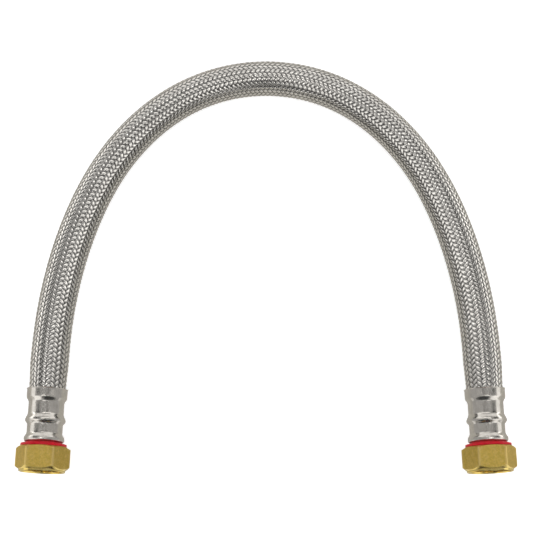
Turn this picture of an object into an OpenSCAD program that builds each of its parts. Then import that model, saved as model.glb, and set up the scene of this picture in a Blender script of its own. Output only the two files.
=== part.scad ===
// Braided supply line: a flexible water connector that lies flat, bent into an arch.
// Each end has a tail piece, a crimped ferrule, an insulating ring, a sealing washer and a swivel nut.
// X runs from end to end, Y from the nuts to the top of the arch, and Z up from the floor.
// The origin is on the floor, midway between the two end fittings.

/* [Hose] */
// Outer diameter of the braid
hose_od = 23.6; // [22.4:0.1:24]
// Outer diameter of the braid at the ferrule's mouth, where it starts to narrow
mouth_od = 22.3; // [22:0.05:22.4]
// Thickness of the braid
braid_wall = 0.6; // [0.5:0.05:0.7]
// Bore of the rubber inner tube
tube_id = 16; // [15.9:0.05:16.1]
// Outer diameter of the braid where the ferrule has crimped it
crimped_od = 19.6; // [19:0.1:19.7]

/* [Swivel nut] */
// Width across the flats of the hexagon
nut_af = 28.6; // [28:0.1:30]
// Height of the nut along its axis
nut_height = 15; // [14.8:0.1:15]
// Diameter of the flat end faces, and of the round rim at the mouth
nut_face_d = 27.8; // [27.6:0.1:28]
// Height of the round rim at the mouth
mouth_rim = 1.1; // [0.8:0.1:1.4]
// Height of the chamfer behind that rim, measured at the corners
mouth_chamfer = 2; // [1:0.1:2.5]
// Height of the chamfer at the back, measured at the corners
back_chamfer = 1.5; // [1:0.1:2.5]
// Diameter over the crests of the internal thread
thread_minor_d = 24.26; // [24:0.02:24.5]
// Diameter of the clear space behind the thread
relief_d = 26.4; // [26:0.1:26.6]
// Depth from the mouth to the end of the thread
thread_end = 6.6; // [5:0.1:6.8]
// Thickness of the lip that holds the nut on its tail
lip_wall = 1.8; // [1.5:0.1:1.9]

/* [Insulating ring] */
// Diameter of the flange behind the nut
ring_flange_d = 27.6; // [26:0.1:28]
// Thickness of the flange
ring_flange = 1.5; // [1.2:0.1:1.5]
// Diameter of the collar next to the ferrule
ring_collar_d = 22.3; // [20:0.1:22.5]

/* [Ferrule] */
// Wall thickness of the ferrule
ferrule_wall = 0.8; // [0.6:0.05:0.8]
// Outer diameter of the raised bands
band_d = 24.3; // [24:0.1:24.5]
// Outer diameter of the crimped necks
neck_d = 21.4; // [21.4:0.1:21.6]
// Outer diameter of the flared lip at the hose end
flare_d = 25.1; // [24.6:0.1:25.4]

/* [Tail and washer] */
// Waterway through the tail
bore_d = 12.4; // [11:0.1:13]
// Diameter of the spigot between its barbs
spigot_d = 14.6; // [14.2:0.1:14.6]
// Diameter over the barbs
barb_d = 15.4; // [15:0.1:15.4]
// Diameter of the neck that the nut and ring turn on
tail_neck_d = 17; // [16.6:0.1:17]
// Diameter of the flange that holds the nut on
tail_flange_d = 23.4; // [22:0.1:23.6]
// Thickness of that flange
tail_flange = 1.8; // [1.5:0.1:1.8]
// Outer diameter of the washer
washer_d = 23.2; // [22:0.1:23.4]
// Thickness of the washer
washer_wall = 2.4; // [2:0.1:2.4]

/* [Hidden] */
$fn = 96;

brass = [0.70, 0.59, 0.31];
steel = [0.74, 0.72, 0.69];
rubber = [0.12, 0.12, 0.12];
red = [0.75, 0.10, 0.15];

// Heights above the floor. The nuts lie on their flats, and the hose lies on the floor between them.
axis_z = nut_af / 2;
rest_z = hose_od / 2 + 0.05;
sink_z = 12.5;

// The hose's route from the left ferrule's mouth to the top of the arch, and its mirror image.
half_route = [
    [-131.5, 24.5, axis_z], [-130, 62.5, axis_z], [-124, 99.5, sink_z], [-113, 135.5, rest_z],
    [-96, 169.5, rest_z], [-70.5, 198.5, rest_z], [-38, 218, rest_z], [0, 225, rest_z],
];
route = concat(half_route, [for (i = [len(half_route) - 2 : -1 : 0]) flip(half_route[i])]);
rings_per_leg = 2;
sides = 12;

// The fittings' lean from the Y axis, which is the lean of the route's first leg.
lean = atan2(half_route[1][0] - half_route[0][0], half_route[1][1] - half_route[0][1]);
along = [sin(lean), cos(lean), 0];

// Stations along a fitting, measured from the nut's mouth.
fit_len = 49.5;
washer_at = 7;
flange_at = washer_at + washer_wall;
nose_at = flange_at - 1.6;
neck_at = flange_at + tail_flange;
lip_at = nut_height - lip_wall;
ring_at = nut_height + 0.1;
ring_collar_at = ring_at + ring_flange;
ring_end = ring_collar_at + 1;
ferrule_at = 17.8;
ferrule_floor = 1;
hose_at = ferrule_at + ferrule_floor + 0.2;
crimp_end = 41;
flare_start = 45.5;
tail_end = 46;

ring_sleeve_d = 19.4;
ring_bore_d = tail_neck_d + 0.2;
nut_hole_d = ring_sleeve_d + 0.2;
barb_pitch = 5;
barbs = 5;

// The ferrule's outside, as [station, diameter] where it is flat or turns. It eases from one to the next.
ferrule_turns = [
    [19.6, band_d], [23.1, neck_d], [27.8, neck_d], [30.5, band_d], [34.9, neck_d], [41.1, neck_d],
    [44.6, band_d], [49, band_d], [fit_len, flare_d],
];
ferrule_nose_d = 22.6;
ease_steps = 6;

function flip(p) = [-p[0], p[1], p[2]];
function unit(v) = v / norm(v);

// A point on the left fitting's axis, at a station measured from its nut's mouth.
function station(t) = half_route[0] + (t - fit_len) * along;

// One point of a uniform cubic B-spline, on leg i of the control points q, with u from 0 to 1.
function spline_point(q, i, u) =
    (pow(1 - u, 3) * q[i] + (3 * pow(u, 3) - 6 * u * u + 4) * q[i + 1]
     + (-3 * pow(u, 3) + 3 * u * u + 3 * u + 1) * q[i + 2] + pow(u, 3) * q[i + 3]) / 6;

// The spline from the first to the last of the given points. It starts and ends straight.
function smooth_route(p) =
    let (n = len(p), q = concat([2 * p[0] - p[1]], p, [2 * p[n - 1] - p[n - 2]]))
    [
        for (i = [0 : n - 2], k = [0 : rings_per_leg - 1]) spline_point(q, i, k / rings_per_leg),
        p[n - 1],
    ];

inside_ferrule = [station(hose_at), station(crimp_end), station(flare_start)];
hose_path = concat(
    inside_ferrule,
    smooth_route(route),
    [for (i = [len(inside_ferrule) - 1 : -1 : 0]) flip(inside_ferrule[i])]
);

// The radius at ring i of the hose path, from the radii where it is crimped, in the ferrule's mouth and free.
function hose_radius(i, radii) =
    let (from_end = min(i, len(hose_path) - 1 - i))
    radii[from_end < 2 ? 0 : from_end < 4 ? 1 : 2];

// One ring of points round the hose path, square to it and level from side to side.
function ring_points(i, r) =
    let (
        last = len(hose_path) - 1,
        ahead = unit(hose_path[min(i + 1, last)] - hose_path[max(i - 1, 0)]),
        side = unit([ahead[1], -ahead[0], 0]),
        up = cross(side, ahead)
    )
    [for (k = [0 : sides - 1]) hose_path[i] + r * (cos(360 * k / sides) * side + sin(360 * k / sides) * up)];

// The two triangles between side k of ring a and the same side of ring b.
function side_faces(a, b, k) =
    let (n = (k + 1) % sides)
    [
        [a * sides + k, b * sides + k, b * sides + n],
        [a * sides + k, b * sides + n, a * sides + n],
    ];

// A hollow tube along the hose path. Its outer and inner radii are lists of three, as hose_radius takes them.
module hose_layer(outer_radii, inner_radii) {
    n = len(hose_path);
    outer = [for (i = [0 : n - 1]) each ring_points(i, hose_radius(i, outer_radii))];
    inner = [for (i = [0 : n - 1]) each ring_points(i, hose_radius(i, inner_radii))];
    faces = [
        for (k = [0 : sides - 1]) each concat(
            [for (i = [0 : n - 2]) each side_faces(i, i + 1, k)],
            [for (i = [0 : n - 2]) each side_faces(n + i + 1, n + i, k)],
            side_faces(n, 0, k),
            side_faces(n - 1, 2 * n - 1, k)
        ),
    ];
    polyhedron(concat(outer, inner), faces);
}

// Puts a piece on the left fitting: its Z runs from the nut's mouth towards the hose.
module on_fitting() {
    translate(station(0)) rotate([-90, 0, -lean]) children();
}

// Turns an outline of [radius, station] points round the fitting's axis.
module turned(outline) {
    rotate_extrude() polygon(outline);
}

// An easing curve from 0 to 1 that is level at both ends.
function ease(u) = (1 - cos(180 * u)) / 2;

// The ferrule's outside, as [radius, station], from its rounded nose to its flared lip.
function ferrule_outside() = concat(
    [
        for (k = [0 : ease_steps - 1])
            let (u = k / ease_steps, turn = ferrule_turns[0])
            [
                (ferrule_nose_d + (turn[1] - ferrule_nose_d) * sin(90 * u)) / 2,
                turn[0] - (turn[0] - ferrule_at) * cos(90 * u),
            ],
    ],
    [
        for (i = [0 : len(ferrule_turns) - 2])
            let (a = ferrule_turns[i], b = ferrule_turns[i + 1], steps = a[1] == b[1] ? 1 : ease_steps)
            for (k = [0 : steps - 1])
                let (u = k / steps)
                [(a[1] + (b[1] - a[1]) * ease(u)) / 2, a[0] + (b[0] - a[0]) * u],
    ],
    [[flare_d / 2, fit_len]]
);

module ferrule() {
    outside = ferrule_outside();
    floor_top = ferrule_at + ferrule_floor;
    inside = [for (p = outside) if (p[1] > floor_top) [p[0] - ferrule_wall, p[1]]];
    hole = spigot_d / 2 + 0.05;
    turned(concat(
        [[hole, floor_top], [hole, ferrule_at]],
        outside,
        [for (i = [len(inside) - 1 : -1 : 0]) inside[i]],
        [[inside[0][0], floor_top]]
    ));
}

module tail() {
    spigot = spigot_d / 2;
    barb_at = tail_end - 1 - barbs * barb_pitch;
    turned(concat(
        [
            [bore_d / 2, nose_at], [spigot - 0.1, nose_at], [spigot - 0.1, flange_at],
            [tail_flange_d / 2, flange_at], [tail_flange_d / 2, neck_at],
            [tail_neck_d / 2, neck_at], [tail_neck_d / 2, ferrule_at], [spigot, ferrule_at],
        ],
        [
            for (i = [0 : barbs - 1], r = [spigot_d, barb_d])
                [r / 2, barb_at + i * barb_pitch],
        ],
        [[spigot, tail_end - 1], [spigot - 0.4, tail_end], [bore_d / 2, tail_end]]
    ));
}

module washer() {
    difference() {
        translate([0, 0, washer_at]) cylinder(d = washer_d, h = washer_wall);
        translate([0, 0, washer_at - 1]) cylinder(d = spigot_d - 0.2, h = washer_wall + 2);
    }
}

module insulator_ring() {
    bore = ring_bore_d / 2;
    turned([
        [bore, lip_at + 0.2], [ring_sleeve_d / 2, lip_at + 0.2], [ring_sleeve_d / 2, ring_at],
        [ring_flange_d / 2, ring_at], [ring_flange_d / 2, ring_collar_at],
        [ring_collar_d / 2, ring_collar_at], [ring_collar_d / 2, ring_end], [bore, ring_end],
    ]);
}

module swivel_nut() {
    corner_r = nut_af / 2 / cos(30);
    face_r = nut_face_d / 2;
    crest_r = thread_minor_d / 2;
    relief_r = relief_d / 2;
    difference() {
        intersection() {
            cylinder(r = corner_r, h = nut_height, $fn = 6);
            turned([
                [0, 0], [face_r, 0], [face_r, mouth_rim], [corner_r, mouth_rim + mouth_chamfer],
                [corner_r, nut_height - back_chamfer], [face_r, nut_height], [0, nut_height],
            ]);
        }
        turned([
            [0, -1], [relief_r + 1, -1], [relief_r, 0], [crest_r, relief_r - crest_r],
            [crest_r, thread_end], [relief_r - 0.2, thread_end + 0.3], [relief_r - 0.2, lip_at],
            [nut_hole_d / 2, lip_at], [nut_hole_d / 2, nut_height + 1], [0, nut_height + 1],
        ]);
    }
}

braid_outside = [crimped_od / 2, mouth_od / 2, hose_od / 2];
braid_inside = [for (r = braid_outside) r - braid_wall];

module inner_tube() {
    bore = tube_id / 2;
    color(rubber) hose_layer([for (r = braid_inside) r - 0.05], [bore, bore, bore]);
}

module braid_sleeve() {
    color(steel) hose_layer(braid_outside, braid_inside);
}

module tail_left() { color(brass) on_fitting() tail(); }
module ferrule_left() { color(steel) on_fitting() ferrule(); }
module washer_left() { color(rubber) on_fitting() washer(); }
module insulator_ring_left() { color(red) on_fitting() insulator_ring(); }
module swivel_nut_left() { color(brass) on_fitting() swivel_nut(); }

module tail_right() { mirror([1, 0, 0]) tail_left(); }
module ferrule_right() { mirror([1, 0, 0]) ferrule_left(); }
module washer_right() { mirror([1, 0, 0]) washer_left(); }
module insulator_ring_right() { mirror([1, 0, 0]) insulator_ring_left(); }
module swivel_nut_right() { mirror([1, 0, 0]) swivel_nut_left(); }

inner_tube();
braid_sleeve();
tail_left();
ferrule_left();
washer_left();
insulator_ring_left();
swivel_nut_left();
tail_right();
ferrule_right();
washer_right();
insulator_ring_right();
swivel_nut_right();
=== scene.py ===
"""The looks of the braided water supply line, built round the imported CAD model, in metres."""

import math

import bpy
import numpy as np
from mathutils import Matrix, Vector


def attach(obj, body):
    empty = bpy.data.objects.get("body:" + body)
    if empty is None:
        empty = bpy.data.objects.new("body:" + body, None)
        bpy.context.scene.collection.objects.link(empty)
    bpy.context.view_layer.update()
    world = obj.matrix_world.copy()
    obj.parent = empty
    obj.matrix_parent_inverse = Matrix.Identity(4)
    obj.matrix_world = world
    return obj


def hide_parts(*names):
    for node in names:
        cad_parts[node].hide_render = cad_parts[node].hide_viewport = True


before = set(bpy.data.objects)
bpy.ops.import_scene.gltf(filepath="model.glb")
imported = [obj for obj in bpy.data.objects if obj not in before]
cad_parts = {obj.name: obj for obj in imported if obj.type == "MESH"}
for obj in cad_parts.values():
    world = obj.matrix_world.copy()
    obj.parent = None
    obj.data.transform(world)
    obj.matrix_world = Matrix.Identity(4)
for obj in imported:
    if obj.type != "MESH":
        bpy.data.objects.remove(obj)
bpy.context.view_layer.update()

MM = 0.001
SIDES = {"left": -1, "right": 1}

# ------------------------------------------------------------------------------------------------
# The hose's route, as in part.scad
# ------------------------------------------------------------------------------------------------

HOSE_R = 11.8 * MM
HOSE_MOUTH_R = 11.15 * MM
TAPER_LEN = 19 * MM
AXIS_Z = 14.3 * MM
REST_Z = 11.85 * MM
HALF_ROUTE = [
    (-0.1315, 0.0245, AXIS_Z),
    (-0.130, 0.0625, AXIS_Z),
    (-0.124, 0.0995, 0.0125),
    (-0.113, 0.1355, REST_Z),
    (-0.096, 0.1695, REST_Z),
    (-0.0705, 0.1985, REST_Z),
    (-0.038, 0.218, REST_Z),
    (0, 0.225, REST_Z),
]
FIT_LEN = 49.5 * MM
LEAN = math.atan2(1.5, 38)
STEPS_PER_LEG = 80
OVAL = 0.08


def ease(u):
    """From 0 to 1, level at both ends."""
    return (1 - np.cos(np.pi * u)) / 2


def station(t, side=-1):
    """The point on a fitting's axis at a distance t from its nut's mouth."""
    x, y, z = HALF_ROUTE[0]
    back = t - FIT_LEN
    return Vector((side * -(x + back * math.sin(LEAN)), y + back * math.cos(LEAN), z))


def smooth_route(points):
    """The uniform cubic B-spline through the first and the last of the points."""
    p = np.array(points, float)
    q = np.vstack([2 * p[0] - p[1], p, 2 * p[-1] - p[-2]])
    u = np.arange(STEPS_PER_LEG)[:, None] / STEPS_PER_LEG
    weights = [(1 - u) ** 3, 3 * u**3 - 6 * u**2 + 4, -3 * u**3 + 3 * u**2 + 3 * u + 1, u**3]
    basis = np.hstack(weights) / 6
    return np.vstack([basis @ q[i : i + 4] for i in range(len(p) - 1)] + [p[-1:]])


class Hose:
    """The hose's centreline, with arc length 0 at the left ferrule's lip, and its slightly oval section."""

    TUBE_END = 20 * MM
    RINGS_INSIDE = 30
    BEND_WINDOW = 121

    def __init__(self):
        route = HALF_ROUTE + [(-x, y, z) for x, y, z in HALF_ROUTE[-2::-1]]
        free = smooth_route(route)
        stations = np.linspace(self.TUBE_END, FIT_LEN, self.RINGS_INSIDE)[:-1]
        inside = np.array([station(t) for t in stations])
        points = np.vstack([inside, free, (inside * [-1, 1, 1])[::-1]])
        step = np.linalg.norm(np.diff(points, axis=0), axis=1)
        self.s = np.concatenate([[0], np.cumsum(step)]) - (FIT_LEN - self.TUBE_END)
        self.points = points
        ahead = np.gradient(points, self.s, axis=0)
        ahead /= np.linalg.norm(ahead, axis=1)[:, None]
        flat = np.column_stack([ahead[:, 1], -ahead[:, 0], np.zeros(len(ahead))])
        self.side = flat / np.linalg.norm(flat, axis=1)[:, None]
        self.up = np.cross(self.side, ahead)
        self.free_length = self.s[-1] - (FIT_LEN - self.TUBE_END)
        bend = np.linalg.norm(np.gradient(ahead, self.s, axis=0), axis=1)
        window = np.hanning(self.BEND_WINDOW)
        bend = np.convolve(bend, window / window.sum(), mode="same")
        self.squash = 1 - OVAL * bend / bend.max()

    def narrowed(self, s):
        """How much smaller the hose's radius is at arc lengths s, near the ferrules' mouths."""
        from_mouth = np.clip(np.minimum(s, self.free_length - s) / TAPER_LEN, 0, 1)
        return (HOSE_R - HOSE_MOUTH_R) * (1 - ease(from_mouth))

    def at(self, table, s):
        """A table of the centreline's vectors, read at arc lengths s."""
        return np.stack([np.interp(s, self.s, table[:, i]) for i in range(3)], axis=-1)

    def surface(self, s, angle, radius):
        """Points at arc length s, at an angle round the hose from its side to its top, and a radius."""
        across = (radius * np.cos(angle) * np.interp(s, self.s, self.squash))[..., None]
        upward = (radius * np.sin(angle))[..., None]
        return self.at(self.points, s) + across * self.at(self.side, s) + upward * self.at(self.up, s)


hose = Hose()

# ------------------------------------------------------------------------------------------------
# Camera
# ------------------------------------------------------------------------------------------------

CAMERA_LENS = 102.2
CAMERA_DISTANCE = 0.93
CAMERA_TILT = math.radians(12.7)
CAMERA_TARGET = Vector((0.0003, 0.1009, 0.012))


def add_camera():
    data = bpy.data.cameras.new("camera")
    data.lens = CAMERA_LENS
    data.sensor_width = 36
    data.clip_start = 0.05
    data.clip_end = 50
    camera = bpy.data.objects.new("camera", data)
    bpy.context.scene.collection.objects.link(camera)
    back = Vector((0, -math.sin(CAMERA_TILT), math.cos(CAMERA_TILT)))
    camera.location = CAMERA_TARGET + CAMERA_DISTANCE * back
    camera.rotation_euler = (CAMERA_TILT, 0, 0)
    bpy.context.scene.camera = camera


add_camera()

# ------------------------------------------------------------------------------------------------
# Materials
# ------------------------------------------------------------------------------------------------

# The numbers that meshes hold at their points: a strand's painted shade, from its height in the weave less
# its edges and grooves, and how worn and painted bright as a highlight a nut's corners are
DIP_SHADE = "painted_dip_shade"
WEAR_AND_SHEEN = "wear_and_sheen"
# The colour of a nut's corners, worn and painted bright as a highlight
SHEEN_AND_WEAR_BRASS = (1.0, 0.78, 0.34)
# Most of a noise's values lie between these
NOISE_LOW = 0.3
NOISE_HIGH = 0.7


class Shader:
    """A node material with one Principled shader, whose parts are added one call at a time."""

    def __init__(self, name, **constants):
        self.material = bpy.data.materials.new(name)
        self.material.use_nodes = True
        self.tree = self.material.node_tree
        self.bsdf = self.tree.nodes["Principled BSDF"]
        for socket, value in constants.items():
            self.bsdf.inputs[socket.replace("_", " ")].default_value = value
        self.coords = self.tree.nodes.new("ShaderNodeTexCoord")

    def link(self, out, into):
        self.tree.links.new(out, into)

    def noise(self, scale, stretch=(1, 1, 1), detail=3.0, roughness=0.55):
        """Noise in object coordinates, with scale in features per millimetre before stretching."""
        mapping = self.tree.nodes.new("ShaderNodeMapping")
        mapping.inputs["Scale"].default_value = [1000 * scale * k for k in stretch]
        noise = self.tree.nodes.new("ShaderNodeTexNoise")
        noise.inputs["Scale"].default_value = 1.0
        noise.inputs["Detail"].default_value = detail
        noise.inputs["Roughness"].default_value = roughness
        self.link(self.coords.outputs["Object"], mapping.inputs["Vector"])
        self.link(mapping.outputs["Vector"], noise.inputs["Vector"])
        return noise.outputs["Fac"]

    def attribute(self, name):
        """A number that the mesh holds at each point."""
        node = self.tree.nodes.new("ShaderNodeAttribute")
        node.attribute_name = name
        return node.outputs["Fac"]

    def ramp(self, value, stops):
        """Colours or greys at positions along a value."""
        ramp = self.tree.nodes.new("ShaderNodeValToRGB")
        elements = ramp.color_ramp.elements
        while len(elements) < len(stops):
            elements.new(0.5)
        for element, (position, colour) in zip(elements, stops):
            element.position = position
            colour = colour if hasattr(colour, "__len__") else (colour,) * 3
            element.color = (*colour, 1)
        self.link(value, ramp.inputs["Fac"])
        return ramp.outputs["Color"]

    def mix(self, a, b, factor, blend="MIX"):
        """Mixes two colours, or multiplies them with blend="MULTIPLY"."""
        node = self.tree.nodes.new("ShaderNodeMix")
        node.data_type = "RGBA"
        node.blend_type = blend
        for name, value in (("Factor", factor), ("A", a), ("B", b)):
            if isinstance(value, bpy.types.NodeSocket):
                self.link(value, node.inputs[name])
            else:
                node.inputs[name].default_value = value
        return node.outputs["Result"]

    def colour(self, value):
        self.link(value, self.bsdf.inputs["Base Color"])

    def rough(self, value, low, high):
        """Roughness that follows a value from low to high."""
        span = self.tree.nodes.new("ShaderNodeMapRange")
        span.inputs["To Min"].default_value = low
        span.inputs["To Max"].default_value = high
        span.inputs["From Min"].default_value = NOISE_LOW
        span.inputs["From Max"].default_value = NOISE_HIGH
        self.link(value, span.inputs["Value"])
        self.link(span.outputs["Result"], self.bsdf.inputs["Roughness"])

    def bump(self, *layers):
        """Bumps of (value, height in millimetres), one on top of another."""
        normal = None
        for value, height in layers:
            node = self.tree.nodes.new("ShaderNodeBump")
            node.inputs["Strength"].default_value = 1.0
            node.inputs["Distance"].default_value = height * MM
            self.link(value, node.inputs["Height"])
            if normal is not None:
                self.link(normal, node.inputs["Normal"])
            normal = node.outputs["Normal"]
        self.link(normal, self.bsdf.inputs["Normal"])


def braid_material():
    """Drawn stainless wire, with painted shade that darkens it down in the weave's hollows and in its
    grooves.
    """
    m = Shader("braid_wire", Metallic=1.0)
    patches = m.noise(0.12, detail=2.0)
    fine = m.noise(2.5, detail=2.0)
    tone = m.ramp(patches, [(0.3, (0.78, 0.75, 0.705)), (0.7, (0.91, 0.88, 0.83))])
    # Painted shade: darker down in the weave's hollows, at the strands' edges and in the grooves between
    # wires
    dip_shade_factor = m.ramp(m.attribute(DIP_SHADE), [(0.0, 0.09), (0.45, 0.29), (0.62, 0.65), (0.85, 1.0)])
    m.colour(m.mix(tone, dip_shade_factor, 1.0, "MULTIPLY"))
    m.rough(fine, 0.10, 0.18)
    return m.material


def ferrule_material():
    """Polished stainless sheet, with drawing lines along it and a slight orange peel."""
    m = Shader("ferrule_steel", Metallic=1.0)
    peel = m.noise(0.25, detail=3.0)
    lines = m.noise(3.0, stretch=(1, 1, 0.04), detail=2.0)
    tone = m.ramp(peel, [(0.3, (0.66, 0.625, 0.57)), (0.7, (0.76, 0.72, 0.66))])
    m.colour(m.mix(tone, m.ramp(lines, [(0.35, 0.9), (0.65, 1.0)]), 1.0, "MULTIPLY"))
    m.rough(lines, 0.17, 0.27)
    m.bump((peel, 0.05), (lines, 0.006))
    return m.material


def nut_flat_material():
    """Satin brass as it leaves the forging die, mottled and grained, with its corners worn and painted
    bright as a highlight.
    """
    m = Shader("nut_forged_brass", Metallic=1.0)
    blotches = m.noise(0.35, detail=4.0, roughness=0.6)
    speckle = m.noise(1.1, detail=3.0, roughness=0.7)
    grain = m.noise(4.0, detail=3.0)
    tone = m.ramp(
        blotches,
        [(0.3, (0.70, 0.49, 0.107)), (0.5, (0.78, 0.56, 0.135)), (0.7, (0.865, 0.645, 0.20))],
    )
    mottled = m.mix(tone, m.ramp(speckle, [(0.32, 0.80), (0.62, 1.0)]), 1.0, "MULTIPLY")
    grained = m.mix(mottled, m.ramp(grain, [(0.3, 0.82), (0.65, 1.0)]), 1.0, "MULTIPLY")
    # The hexagon's corners are worn and painted bright as a highlight
    m.colour(m.mix(grained, (*SHEEN_AND_WEAR_BRASS, 1), m.attribute(WEAR_AND_SHEEN)))
    m.rough(blotches, 0.44, 0.58)
    m.bump((blotches, 0.05), (speckle, 0.035), (grain, 0.018))
    return m.material


def turned_brass_material():
    """Brass fresh from the lathe, with fine rings round its axis."""
    m = Shader("turned_brass", Metallic=1.0)
    rings = m.noise(5.0, stretch=(0.12, 0.12, 1), detail=2.0)
    stain = m.noise(0.2, detail=3.0)
    tone = m.ramp(stain, [(0.3, (0.84, 0.62, 0.17)), (0.7, (0.94, 0.74, 0.27))])
    m.colour(m.mix(tone, m.ramp(rings, [(0.3, 0.9), (0.6, 1.0)]), 1.0, "MULTIPLY"))
    m.rough(rings, 0.10, 0.18)
    m.bump((rings, 0.01))
    return m.material


def ring_material():
    """Glossy moulded red plastic."""
    m = Shader("ring_red_plastic", Specular_IOR_Level=0.35)
    swirl = m.noise(0.4, detail=3.0)
    grain = m.noise(6.0, detail=2.0)
    m.colour(m.ramp(swirl, [(0.3, (0.60, 0.004, 0.016)), (0.7, (0.74, 0.008, 0.024))]))
    m.rough(grain, 0.22, 0.36)
    m.bump((grain, 0.006))
    return m.material


def rubber_material(name, dark, light):
    """Matt black rubber with a fine grain."""
    m = Shader(name, Specular_IOR_Level=0.35)
    bloom = m.noise(0.3, detail=3.0)
    grain = m.noise(5.0, detail=3.0)
    m.colour(m.ramp(bloom, [(0.3, dark), (0.7, light)]))
    m.rough(grain, 0.62, 0.8)
    m.bump((grain, 0.012))
    return m.material


materials = {
    "braid": braid_material(),
    "ferrule": ferrule_material(),
    "nut": nut_flat_material(),
    "turned": turned_brass_material(),
    "ring": ring_material(),
    "tube": rubber_material("tube_rubber", 0.010, 0.020),
    "washer": rubber_material("washer_rubber", 0.016, 0.030),
}

# ------------------------------------------------------------------------------------------------
# Mesh helpers
# ------------------------------------------------------------------------------------------------


def new_piece(name, points, faces, slots, ends=()):
    """A smooth-shaded mesh object from points, an array of four-sided faces and any end polygons."""
    corners = np.concatenate([faces.ravel(), *ends]).astype(np.int32)
    counts = np.array([4] * len(faces) + [len(end) for end in ends], np.int32)
    starts = np.concatenate([[0], np.cumsum(counts)[:-1]]).astype(np.int32)
    mesh = bpy.data.meshes.new(name)
    mesh.vertices.add(len(points))
    mesh.vertices.foreach_set("co", points.astype(np.float32).ravel())
    mesh.loops.add(len(corners))
    mesh.loops.foreach_set("vertex_index", corners)
    mesh.polygons.add(len(counts))
    mesh.polygons.foreach_set("loop_start", starts)
    mesh.update(calc_edges=True)
    mesh.validate()
    for slot in slots:
        mesh.materials.append(materials[slot])
    mesh.shade_smooth()
    piece = bpy.data.objects.new(name, mesh)
    bpy.context.scene.collection.objects.link(piece)
    return piece


def grid_faces(rows, columns, closed_rows=False):
    """The faces between a grid's rows, each of which closes on itself, four corners to a face."""
    here = np.arange(rows if closed_rows else rows - 1)[:, None] * columns
    ahead = (here + columns) % (rows * columns)
    k = np.arange(columns)[None, :]
    beside = (k + 1) % columns
    return np.stack([here + k, ahead + k, ahead + beside, here + beside], axis=-1).reshape(-1, 4)


def round_angles(count):
    """Evenly spaced angles, once round."""
    return np.arange(count) * 2 * math.pi / count


def turned(name, radii, heights, slots, sharp=35, slot_of=None):
    """A ring of closed outlines round the z axis, one a row, whose radii and heights are in millimetres.

    slot_of gives each outline point's place in slots, for the band of faces that follows it."""
    rows, columns = radii.shape
    angles = round_angles(rows)[:, None]
    points = MM * np.stack([radii * np.cos(angles), radii * np.sin(angles), heights], axis=-1)
    piece = new_piece(name, points.reshape(-1, 3), grid_faces(rows, columns, closed_rows=True), slots)
    piece.data.set_sharp_from_angle(angle=math.radians(sharp))
    if slot_of is not None:
        index = np.broadcast_to(slot_of, (rows, columns)).ravel().astype(np.int32)
        piece.data.polygons.foreach_set("material_index", index)
    return piece


def on_fitting(piece, side):
    """Puts a piece that was made along z, from the nut's mouth to the hose, on one of the two fittings."""
    along = (station(1.0, side) - station(0.0, side)).normalized()
    across = Vector((along.y, -along.x, 0))
    turn = Matrix((across, along.cross(across), along)).transposed()
    piece.matrix_world = Matrix.Translation(station(0, side)) @ turn.to_4x4()


def rounded(outline, radius, steps=3, share=0.45):
    """A closed outline of (r, z) points with rounded corners, which take at most a share of each side."""
    points = [np.array(p, float) for p in outline]
    out = []
    for i, p in enumerate(points):
        to_last = points[i - 1] - p
        to_next = points[(i + 1) % len(points)] - p
        reach = min(radius, share * np.linalg.norm(to_last), share * np.linalg.norm(to_next))
        a = p + to_last / np.linalg.norm(to_last) * reach
        b = p + to_next / np.linalg.norm(to_next) * reach
        for k in range(steps + 1):
            u = k / steps
            out.append((1 - u) ** 2 * a + 2 * u * (1 - u) * p + u**2 * b)
    return np.array(out)


# ------------------------------------------------------------------------------------------------
# The hose: a rubber tube under a braid of flat strands, each strand a row of parallel wires
# ------------------------------------------------------------------------------------------------

CARRIERS = 24
LEAD = 72 * MM
BRAID_INSET = 5 * MM
WIRES = 7
WIRE_D = 0.26 * MM
GROOVE = 0.018 * MM
EDGE_GROOVE = 0.12 * MM
STRAND_W = 1.90 * MM
STRAND_CROWN = 0.14 * MM
STRAND_UNDERSIDE = 0.7
STRAND_WIDTHS = (0.95, 1.03)
WEAVE = 0.28 * MM
# Painted shade at a strand's edges and in the grooves between its wires, taken off its height in the weave
EDGE_SHADE = 0.12
GROOVE_SHADE = 0.12
STRAND_PITCH = 2 * math.pi / CARRIERS
WEAVE_TURNS = 12
RINGS_PER_WAVE = 8
BRAID_MID_R = HOSE_R - WEAVE - WIRE_D / 2 - STRAND_CROWN / 2
STRANDS_PER_PIECE = 8
FIRST_SEED = 5
# The size of a strand's slow wandering, and the shortest and longest that its wave may be
DRIFT = (0.05 * MM, 9 * MM, 30 * MM)
LIFT = (0.01 * MM, 4 * MM, 14 * MM)
TUBE_CLEARANCE = 0.05 * MM
TUBE_OUTER_R = BRAID_MID_R - WEAVE - WIRE_D / 2 - TUBE_CLEARANCE
TUBE_BORE_R = 8 * MM
TUBE_CRIMPED_R = 9.2 * MM
TUBE_CRIMP_AT = -8.5 * MM
TUBE_FLARE_AT = -4 * MM
TUBE_SIDES = 48
TUBE_STEP = 2 * MM
TUBE_END_RINGS = 14
TUBE_SHARP = 40


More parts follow.
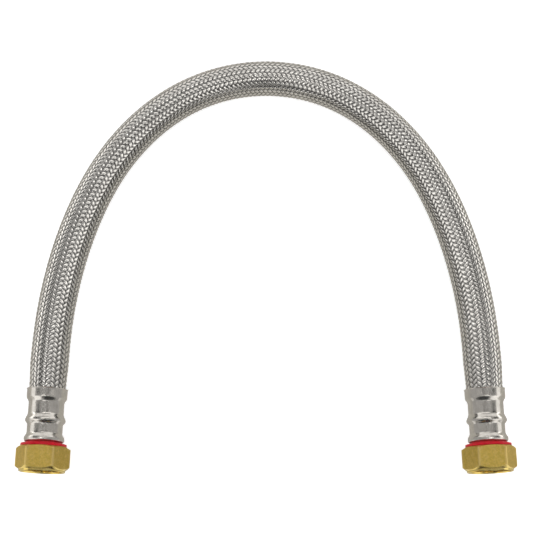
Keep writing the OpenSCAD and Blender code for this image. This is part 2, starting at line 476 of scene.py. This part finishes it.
def strand_section():
    """A strand's cross-section, across and out, and which of its points lie in grooves between its wires.

    The wires bunch up in the middle, so the strand is crowned."""
    half = STRAND_W / 2
    edges = np.linspace(-half, half, WIRES + 1)
    crowns = (edges[:-1] + edges[1:]) / 2
    top = np.empty(2 * WIRES + 1)
    top[0::2] = edges
    top[1::2] = crowns
    grooves = np.arange(0, len(top), 2)
    out = WIRE_D / 2 + STRAND_CROWN * (0.5 - (top / half) ** 2)
    out[grooves] -= GROOVE
    out[[0, -1]] -= EDGE_GROOVE - GROOVE
    under = STRAND_UNDERSIDE * half
    across = np.concatenate([top, [under, -under]])
    out = np.concatenate([out, [-WIRE_D / 2, -WIRE_D / 2]])
    return across, out, grooves


def weave(angle):
    """The braid's height as a strand goes over two others and under two, from -1 to 1."""
    return np.sin(WEAVE_TURNS * angle)


def wander(random, s, size, shortest, longest):
    """A small slow wave along the hose, whose length and phase are drawn at random."""
    length = random.uniform(shortest, longest)
    phase = random.uniform(0, 6.28)
    return size * np.sin(s / length + phase)


def strand_points(hand, carrier, s, across, out, random):
    """One strand's points, and how high it lies in the weave at each arc length, from 0 to 1."""
    drift = wander(random, s, *DRIFT)
    lift = wander(random, s, *LIFT)
    width = random.uniform(*STRAND_WIDTHS)
    cos_lay = LEAD / math.hypot(LEAD, 2 * math.pi * HOSE_R)
    sin_lay = math.sqrt(1 - cos_lay**2)
    phase = 0 if hand > 0 else STRAND_PITCH / 2
    angle = carrier * STRAND_PITCH + phase + hand * 2 * math.pi * s / LEAD
    height = hand * weave(angle)
    radius = BRAID_MID_R + WEAVE * height + lift - hose.narrowed(s)
    shift = drift[:, None] + width * across
    point_angle = angle[:, None] + shift * cos_lay / HOSE_R
    point_s = s[:, None] - hand * shift * sin_lay
    points = hose.surface(point_s, point_angle, radius[:, None] + out)
    return points.reshape(-1, 3), (1 + height) / 2


def sharpen_grooves(mesh, grooves, columns):
    """Keeps the shading crisp along the grooves between a strand's wires."""
    pairs = np.empty(len(mesh.edges) * 2, np.int32)
    mesh.edges.foreach_get("vertices", pairs)
    a, b = (pairs.reshape(-1, 2) % columns).T
    mesh.edges.foreach_set("use_edge_sharp", (a == b) & np.isin(a, grooves))


def strand_group(name, hand, carriers, seed):
    """Some of the strands that wind one way, hand being 1 or -1."""
    random = np.random.default_rng(seed)
    across, out, grooves = strand_section()
    columns = len(across)
    first = -BRAID_INSET
    last = hose.free_length + BRAID_INSET
    ring_step = LEAD / WEAVE_TURNS / RINGS_PER_WAVE
    rings = int(round((last - first) / ring_step)) + 1
    s = np.linspace(first, last, rings)
    # Painted shade at the strand's edges and in its grooves, which darkens the braid's colour
    shade = EDGE_SHADE * (across / (STRAND_W / 2)) ** 2
    shade[grooves] += GROOVE_SHADE
    size = rings * columns
    strand_faces = grid_faces(rows=rings, columns=columns)
    loop = np.arange(columns)
    points = []
    painted_dip_shades = []
    faces = []
    ends = []
    for row, carrier in enumerate(carriers):
        strand, height = strand_points(hand, carrier, s, across, out, random)
        points.append(strand)
        painted_dip_shades.append((height[:, None] - shade).ravel())
        faces.append(strand_faces + row * size)
        ends.append(row * size + loop)
        ends.append((row + 1) * size - 1 - loop)
    piece = new_piece(name, np.vstack(points), np.vstack(faces), ["braid"], ends)
    # The braid's painted shade, held at each point
    painted_dip_shade = piece.data.attributes.new(DIP_SHADE, "FLOAT", "POINT")
    painted_dip_shade.data.foreach_set("value", np.concatenate(painted_dip_shades))
    sharpen_grooves(piece.data, grooves, columns)
    return piece


def build_braid():
    """The braid in six pieces, three winding each way, whose strands go over and under each other."""
    pieces = []
    groups = CARRIERS // STRANDS_PER_PIECE
    for hand, word in ((1, "clockwise"), (-1, "anticlockwise")):
        for group in range(groups):
            carriers = range(group, CARRIERS, groups)
            name = f"braid_{word}_{group + 1}"
            piece = strand_group(name, hand, carriers, seed=FIRST_SEED + 10 * group + hand)
            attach(piece, "hose")
            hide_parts("braid_sleeve")
            pieces.append(piece)
    return pieces


def build_tube():
    """The rubber tube inside the braid, crimped on to the tail at each end."""
    far = hose.free_length - TUBE_FLARE_AT
    s = np.concatenate([
        np.linspace(hose.s[0], TUBE_FLARE_AT, TUBE_END_RINGS),
        np.arange(TUBE_FLARE_AT + TUBE_STEP, far - TUBE_STEP / 2, TUBE_STEP),
        np.linspace(far, hose.s[-1], TUBE_END_RINGS),
    ])
    from_end = np.minimum(s, hose.free_length - s)
    freed = np.clip((from_end - TUBE_CRIMP_AT) / (TUBE_FLARE_AT - TUBE_CRIMP_AT), 0, 1)
    outer = TUBE_CRIMPED_R + (TUBE_OUTER_R - TUBE_CRIMPED_R) * ease(freed)
    outer -= hose.narrowed(s) * (from_end > TUBE_FLARE_AT)
    angle = round_angles(TUBE_SIDES)
    out_points = hose.surface(s[:, None], angle, outer[:, None])
    in_points = hose.surface(s[:, None], angle, TUBE_BORE_R)
    points = np.vstack([out_points, in_points[::-1]])
    faces = grid_faces(len(points), TUBE_SIDES, closed_rows=True)
    piece = new_piece("hose_tube", points.reshape(-1, 3), faces, ["tube"])
    piece.data.set_sharp_from_angle(angle=math.radians(TUBE_SHARP))
    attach(piece, "hose")
    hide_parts("inner_tube")
    return piece


def build_hose():
    braid = build_braid()
    tube = build_tube()


# ------------------------------------------------------------------------------------------------
# The fittings, made along z from the nut's mouth to the hose, in millimetres until they are placed
# ------------------------------------------------------------------------------------------------

FERRULE_AT = 17.8
FERRULE_FLOOR = 1.0
FERRULE_WALL = 0.8
FERRULE_NOSE_R = 11.3
FERRULE_HOLE_R = 7.35
FERRULE_LIP_ROUND = 0.15
FERRULE_LIP_WALL = 0.65
FERRULE_STEPS = 14
FERRULE_TURNS = [
    (19.6, 12.15), (23.1, 10.7), (27.8, 10.7), (30.5, 12.15), (34.9, 10.7), (41.1, 10.7),
    (44.6, 12.15), (49, 12.15), (49.5, 12.55),
]
FERRULE_SEGMENTS = 192
FERRULE_INSIDE_GAP = 0.3
CRIMPED_FROM = 22
CRIMPED_TO = 43
NECK_FADE_R = 12.1
NECK_FADE = 1.4
JAW_MARKS = 8
JAW_RIDGE = 0.05
JAW_RIDGE_W = 0.16

NUT_AF = 28.6
NUT_HEIGHT = 15.0
NUT_FACE_R = 13.9
NUT_RIM = 1.1
NUT_MOUTH_CHAMFER = 2.0
NUT_BACK_CHAMFER = 1.5
NUT_CORNER_ROUND = 0.8
NUT_EDGE = 0.18
# How bright a nut's corners are worn and painted as a highlight
NUT_WEAR_AND_SHEEN = 0.6
NUT_SEGMENTS = 288
NUT_SLOTS = ["nut", "turned"]
NUT_LIP_AT = 13.2
NUT_LIP_R = 9.8
THREAD_PITCH = 25.4 / 14
THREAD_CREST_R = 12.13
THREAD_ROOT_R = 13.1
THREAD_END = 6.6
THREAD_ROWS = 48
THREAD_FLANK = 2.6
THREAD_CREST_FLAT = 0.15
THREAD_RUN_OUT = 2.0
RELIEF_R = 13.0
RELIEF_FROM = THREAD_END + 0.4
THREAD_TOP = THREAD_END + 0.1
MOUTH_R = 13.45

RING_SLEEVE_AT = 13.4
RING_AT = 15.1
RING_COLLAR_AT = 16.6
RING_END = 17.6
RING_BORE_R = 8.6
RING_SLEEVE_R = 9.7
RING_FLANGE_R = 13.8
RING_COLLAR_R = 11.15
RING_EDGE = 0.22
RING_SEGMENTS = 128


def ferrule_outside():
    """The ferrule's outside as rows of (radius, z), from its rounded nose to its flared lip."""
    first_z, first_r = FERRULE_TURNS[0]
    last_z, last_r = FERRULE_TURNS[-1]
    u = np.linspace(0, 1, FERRULE_STEPS, endpoint=False)
    nose_r = FERRULE_NOSE_R + (first_r - FERRULE_NOSE_R) * np.sin(u * math.pi / 2)
    nose_z = first_z - (first_z - FERRULE_AT) * np.cos(u * math.pi / 2)
    rows = [np.column_stack([nose_r, nose_z])]
    for (z0, r0), (z1, r1) in zip(FERRULE_TURNS, FERRULE_TURNS[1:]):
        u = np.linspace(0, 1, 4 if r0 == r1 else FERRULE_STEPS, endpoint=False)
        rows.append(np.column_stack([r0 + (r1 - r0) * ease(u), z0 + (z1 - z0) * u]))
    rows.append([[last_r, last_z]])
    return np.vstack(rows)


def ferrule_outline():
    """The ferrule's whole outline as rows of (radius, z), and which of its points the jaws crimped."""
    floor_top = FERRULE_AT + FERRULE_FLOOR
    outside = ferrule_outside()
    inside = outside[outside[:, 1] > floor_top + FERRULE_INSIDE_GAP] - [FERRULE_WALL, 0]
    lip_z, lip_r = FERRULE_TURNS[-1]
    outline = np.vstack([
        [[FERRULE_HOLE_R, floor_top], [FERRULE_HOLE_R, FERRULE_AT]],
        outside,
        [[lip_r - FERRULE_LIP_ROUND, lip_z], [lip_r - FERRULE_LIP_WALL, lip_z]],
        inside[::-1],
        [[inside[0][0], floor_top]],
    ])
    crimped = (outline[:, 1] > CRIMPED_FROM) & (outline[:, 1] < CRIMPED_TO)
    crimped[2 + len(outside) :] = False
    return outline, crimped


def build_ferrule(side_name, side):
    """The ferrule, with slight ridges down its necks where the crimping jaws met."""
    outline, crimped = ferrule_outline()
    neckness = np.clip((NECK_FADE_R - outline[:, 0]) / NECK_FADE, 0, 1) * crimped
    around = np.sin(round_angles(FERRULE_SEGMENTS) * JAW_MARKS / 2)
    ridge = JAW_RIDGE * np.exp(-((around / JAW_RIDGE_W) ** 2))
    radii = outline[:, 0] + ridge[:, None] * neckness
    heights = np.broadcast_to(outline[:, 1], radii.shape)
    piece = turned(f"{side_name}_ferrule", radii, heights, ["ferrule"])
    on_fitting(piece, side)
    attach(piece, "hose")
    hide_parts(f"ferrule_{side_name}")


def build_ring(side_name, side):
    """The insulating ring: a sleeve inside the nut, a flange behind it and a collar next to the ferrule."""
    sleeve = [(RING_BORE_R, RING_SLEEVE_AT), (RING_SLEEVE_R, RING_SLEEVE_AT), (RING_SLEEVE_R, RING_AT)]
    flange = [(RING_FLANGE_R, RING_AT), (RING_FLANGE_R, RING_COLLAR_AT)]
    collar = [(RING_COLLAR_R, RING_COLLAR_AT), (RING_COLLAR_R, RING_END), (RING_BORE_R, RING_END)]
    outline = rounded(sleeve + flange + collar, RING_EDGE)
    shape = (RING_SEGMENTS, len(outline))
    radii = np.broadcast_to(outline[:, 0], shape)
    heights = np.broadcast_to(outline[:, 1], shape)
    piece = turned(f"{side_name}_ring", radii, heights, ["ring"])
    on_fitting(piece, side)
    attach(piece, f"ring_{side_name}")
    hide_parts(f"insulator_ring_{side_name}")


def hexagon_radius(angles):
    """The radius of a hexagon with rounded corners, which lie at 0, 60, 120 degrees and so on."""
    half = NUT_AF / 2
    from_flat = np.abs((angles % (math.pi / 3)) - math.pi / 6)
    sharp = half / np.cos(from_flat)
    corner = half / math.cos(math.pi / 6)
    centre = corner - NUT_CORNER_ROUND / math.cos(math.pi / 6)
    from_corner = math.pi / 6 - from_flat
    reach = centre * np.cos(from_corner)
    inside = NUT_CORNER_ROUND**2 - (centre * np.sin(from_corner)) ** 2
    round_r = reach + np.sqrt(np.maximum(inside, 0))
    return np.where((inside > 0) & (round_r < sharp), round_r, sharp)


def thread_radius(z, angles):
    """The internal right-hand thread's radius, with its countersunk mouth and its run-out."""
    turn = (z / THREAD_PITCH - angles / (2 * math.pi)) % 1
    flank = np.clip(THREAD_FLANK * np.abs(turn - 0.5) - THREAD_CREST_FLAT, 0, 1)
    radius = THREAD_CREST_R + (THREAD_ROOT_R - THREAD_CREST_R) * (1 - flank)
    countersink = MOUTH_R - z
    run_out = THREAD_ROOT_R - (THREAD_END - z) * THREAD_RUN_OUT
    return np.maximum(np.maximum(radius, countersink), run_out)


def nut_outline(angles):
    """The nut's outline at each angle, from its lip through the thread to its outside, and its slots.

    Points that lie within a few edge widths of each other keep its edges narrow."""
    edge = NUT_EDGE
    hexagon = hexagon_radius(angles)
    corner = NUT_AF / math.sqrt(3) - NUT_FACE_R
    mouth_slope = NUT_MOUTH_CHAMFER / corner
    back_slope = NUT_BACK_CHAMFER / corner
    low = NUT_RIM + mouth_slope * (hexagon - NUT_FACE_R)
    high = NUT_HEIGHT - back_slope * (hexagon - NUT_FACE_R)
    bore = [
        (NUT_LIP_R, NUT_HEIGHT - edge),
        (NUT_LIP_R, NUT_LIP_AT + edge),
        (NUT_LIP_R + edge, NUT_LIP_AT),
        (RELIEF_R - edge, NUT_LIP_AT),
        (RELIEF_R, NUT_LIP_AT - edge),
        (RELIEF_R, RELIEF_FROM),
        (THREAD_ROOT_R, THREAD_TOP),
    ]
    thread = [(thread_radius(z, angles), z) for z in np.linspace(THREAD_END, 0.0, THREAD_ROWS)]
    rim = [
        (NUT_FACE_R - edge, 0),
        (NUT_FACE_R, edge),
        (NUT_FACE_R, NUT_RIM - 0.3 * edge),
        (NUT_FACE_R + 0.4 * edge, NUT_RIM + 0.4 * edge * mouth_slope),
    ]
    outside = [
        (hexagon - 0.5 * edge, low - 0.5 * edge * mouth_slope),
        (hexagon, low + edge),
        (hexagon, low + 3 * edge),
        (hexagon, (low + high) / 2),
        (hexagon, high - 3 * edge),
        (hexagon, high - edge),
        (hexagon - 0.5 * edge, high + 0.5 * edge * back_slope),
    ]
    back = [
        (NUT_FACE_R + 0.6 * edge, NUT_HEIGHT - 0.35 * edge),
        (NUT_FACE_R - edge, NUT_HEIGHT),
        (NUT_LIP_R + edge, NUT_HEIGHT),
    ]
    points = bore + thread + rim + outside + back
    ones = np.ones_like(angles)
    radii = np.stack([r * ones for r, z in points], axis=1)
    heights = np.stack([z * ones for r, z in points], axis=1)
    forged = NUT_SLOTS.index("nut")
    lathed = NUT_SLOTS.index("turned")
    slots = [lathed] * len(bore + thread + rim) + [forged] * len(outside) + [lathed] * len(back)
    return radii, heights, slots


def corner_wear_and_sheen(angles):
    """How bright the brass is worn and painted as a highlight at each angle, most at the hexagon's corners.
    """
    corner_r = NUT_AF / math.sqrt(3)
    from_corner = corner_r * np.abs((angles + math.pi / 6) % (math.pi / 3) - math.pi / 6)
    return NUT_WEAR_AND_SHEEN * np.exp(-((from_corner / NUT_CORNER_ROUND) ** 2))


def build_nut(side_name, side):
    """The swivel nut: a forged hexagon with chamfered ends and a turned rim, bored and threaded."""
    angles = round_angles(NUT_SEGMENTS)
    radii, heights, slots = nut_outline(angles)
    piece = turned(f"{side_name}_nut", radii, heights, NUT_SLOTS, sharp=28, slot_of=slots)
    # The corners' painted highlight and worn brightening, held at each point
    wear_and_sheen = np.repeat(corner_wear_and_sheen(angles), len(slots))
    piece.data.attributes.new(WEAR_AND_SHEEN, "FLOAT", "POINT").data.foreach_set("value", wear_and_sheen)
    on_fitting(piece, side)
    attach(piece, f"nut_{side_name}")
    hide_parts(f"swivel_nut_{side_name}")


def dress_cad_node(node, material):
    """Gives its procedural material to a CAD node that is shown as it is."""
    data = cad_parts[node].data
    data.materials.clear()
    data.materials.append(materials[material])


build_hose()
for side_name, side in SIDES.items():
    build_ferrule(side_name, side)
    build_ring(side_name, side)
    build_nut(side_name, side)
    dress_cad_node(f"tail_{side_name}", "turned")
    dress_cad_node(f"washer_{side_name}", "washer")

# ------------------------------------------------------------------------------------------------
# Floor and light
# ------------------------------------------------------------------------------------------------

FLOOR_SIZE = 12.0
FLOOR_Z = -0.0002
FLOOR_PAINT = (0.95, 0.95, 0.95)
FLOOR_GLOW = 0.62
FLOOR_IN_METAL = (0.515, 0.504, 0.47)
WORLD_COLOUR = (0.99, 0.995, 1.0)
WORLD_STRENGTH = 0.38
WHITE = (1, 1, 1)
COOL = (0.9, 0.97, 1.0)
COLDER = (0.8, 0.95, 1.0)


def emission(name, colour, strength):
    """A material that only glows. It isn't sampled as a lamp, so only reflections and bounces find it."""
    material = bpy.data.materials.new(name)
    material.use_nodes = True
    tree = material.node_tree
    tree.nodes.clear()
    glow = tree.nodes.new("ShaderNodeEmission")
    glow.inputs["Color"].default_value = (*colour, 1)
    glow.inputs["Strength"].default_value = strength
    output = tree.nodes.new("ShaderNodeOutputMaterial")
    tree.links.new(glow.outputs[0], output.inputs["Surface"])
    material.cycles.emission_sampling = "NONE"
    return material


def add_panel(name, size, material):
    """A flat rectangle that isn't part of the hose, square to its own z axis."""
    half_w, half_h = size[0] / 2, size[1] / 2
    corners = [(-half_w, -half_h, 0), (half_w, -half_h, 0), (half_w, half_h, 0), (-half_w, half_h, 0)]
    mesh = bpy.data.meshes.new(name)
    mesh.from_pydata(corners, [], [(0, 1, 2, 3)])
    mesh.materials.append(material)
    panel = bpy.data.objects.new(name, mesh)
    bpy.context.scene.collection.objects.link(panel)
    return panel


def add_floor():
    """A pale floor. It looks white, and reflections and bounced light find it a middle grey."""
    material = emission("floor", FLOOR_IN_METAL, 1.0)
    tree = material.node_tree
    in_metal = tree.nodes["Emission"]
    output = tree.nodes["Material Output"]
    mixed = tree.nodes.new("ShaderNodeMixShader")
    path = tree.nodes.new("ShaderNodeLightPath")
    pale = tree.nodes.new("ShaderNodeBsdfDiffuse")
    pale.inputs["Color"].default_value = (*FLOOR_PAINT, 1)
    glow = tree.nodes.new("ShaderNodeEmission")
    glow.inputs["Strength"].default_value = FLOOR_GLOW
    lit = tree.nodes.new("ShaderNodeAddShader")
    tree.links.new(pale.outputs[0], lit.inputs[0])
    tree.links.new(glow.outputs[0], lit.inputs[1])
    tree.links.new(path.outputs["Is Camera Ray"], mixed.inputs["Fac"])
    tree.links.new(in_metal.outputs[0], mixed.inputs[1])
    tree.links.new(lit.outputs[0], mixed.inputs[2])
    tree.links.new(mixed.outputs[0], output.inputs["Surface"])
    floor = add_panel("floor", (FLOOR_SIZE, FLOOR_SIZE), material)
    floor.location.z = FLOOR_Z


def add_card(name, centre, facing, size, strength, colour=WHITE, lights=True):
    """A glowing card of a width and height, which faces a point and which the camera doesn't see.

    Metal reflects it, and with lights it brightens matt surfaces too."""
    card = add_panel(name, size, emission(name, colour, strength))
    card.location = centre
    card.rotation_euler = (Vector(centre) - Vector(facing)).to_track_quat("Z", "Y").to_euler()
    card.visible_camera = False
    card.visible_shadow = False
    card.visible_diffuse = lights


def add_world():
    world = bpy.data.worlds.new("world")
    world.use_nodes = True
    background = world.node_tree.nodes["Background"]
    background.inputs["Color"].default_value = (*WORLD_COLOUR, 1)
    background.inputs["Strength"].default_value = WORLD_STRENGTH
    bpy.context.scene.world = world


def set_picture():
    view = bpy.context.scene.view_settings
    view.view_transform = "Standard"
    view.look = "None"
    view.exposure = 0
    view.gamma = 1


def add_side_cards(side_name, side):
    """One side's cards: two that stand on the floor, a wing in front and a dark one high up."""
    hose_x = side * 0.13
    far_x = side * 1.25
    add_card(f"{side_name}_strip", (far_x, 0, 0.29), (hose_x, 0, 0.29), (1.2, 0.58), 1.15)
    add_card(f"{side_name}_back_strip", (far_x, 0.85, 0.17), (hose_x, 0.85, 0.17), (0.9, 0.34), 2.4)
    add_card(f"{side_name}_wing", (side * 0.95, -0.75, 0.45), (hose_x, 0, 0.1), (0.7, 0.9), 1.3)
    add_card(f"{side_name}_dark", (far_x, 0.6, 1.0), (hose_x, 0.1, 0), (0.6, 0.9), 0.05, lights=False)


def add_reflected_cards():
    """Dark and bright cards that only show in the metal: in front of the nuts and round the camera."""
    floor_z = 0.001
    dark = (0, -0.32, floor_z)
    bright = (0, -0.055, floor_z)
    add_card("dark_card", (0, -0.42, 0.31), (0, 0, 0.31), (0.60, 0.44), 0.05, COOL, lights=False)
    add_card("front_floor_dark", dark, (0, -0.32, 1), (0.9, 0.40), 0.04, lights=False)
    add_card("front_floor_bright", bright, (0, -0.055, 1), (0.5, 0.05), 0.95, lights=False)
    add_card("camera_card", (0, -0.36, 0.78), (0, 0.1, 0.02), (0.26, 0.24), 0.03, COLDER, lights=False)
    add_card("lens_card", (0, -0.10, 0.92), (0, 0.2, 0), (0.26, 0.20), 0.04, lights=False)


def add_divider(name, y, z, size, strength):
    """An upright card between the legs, which keeps each side's light to itself."""
    add_card(name, (0, y, z), (1, y, z), size, strength, lights=False)


def add_studio():
    """The cards at the sides, behind and above light the hose, and the others only show in its metal."""
    for side_name, side in SIDES.items():
        add_side_cards(side_name, side)
    add_card("back_card", (0, 1.45, 0.5), (0, 0.1, 0.5), (2.6, 1.0), 1.0)
    add_card("front_top_card", (0, -0.22, 1.2), (0, 0.05, 0), (1.2, 0.22), 3.3)
    add_card("back_top_card", (0, 0.75, 1.2), (0, 0.1, 0), (1.0, 0.3), 1.9)
    add_reflected_cards()
    add_divider("divider", -0.03, 0.2, (0.20, 0.4), 0.42)
    add_divider("low_divider", 0.12, 0.02, (0.10, 0.07), 0.04)
    add_divider("bright_divider", 0.12, 0.165, (0.10, 0.22), 1.2)
    add_divider("dark_divider", 0.12, 0.45, (0.10, 0.35), 0.12)


add_floor()
add_world()
add_studio()
set_picture()
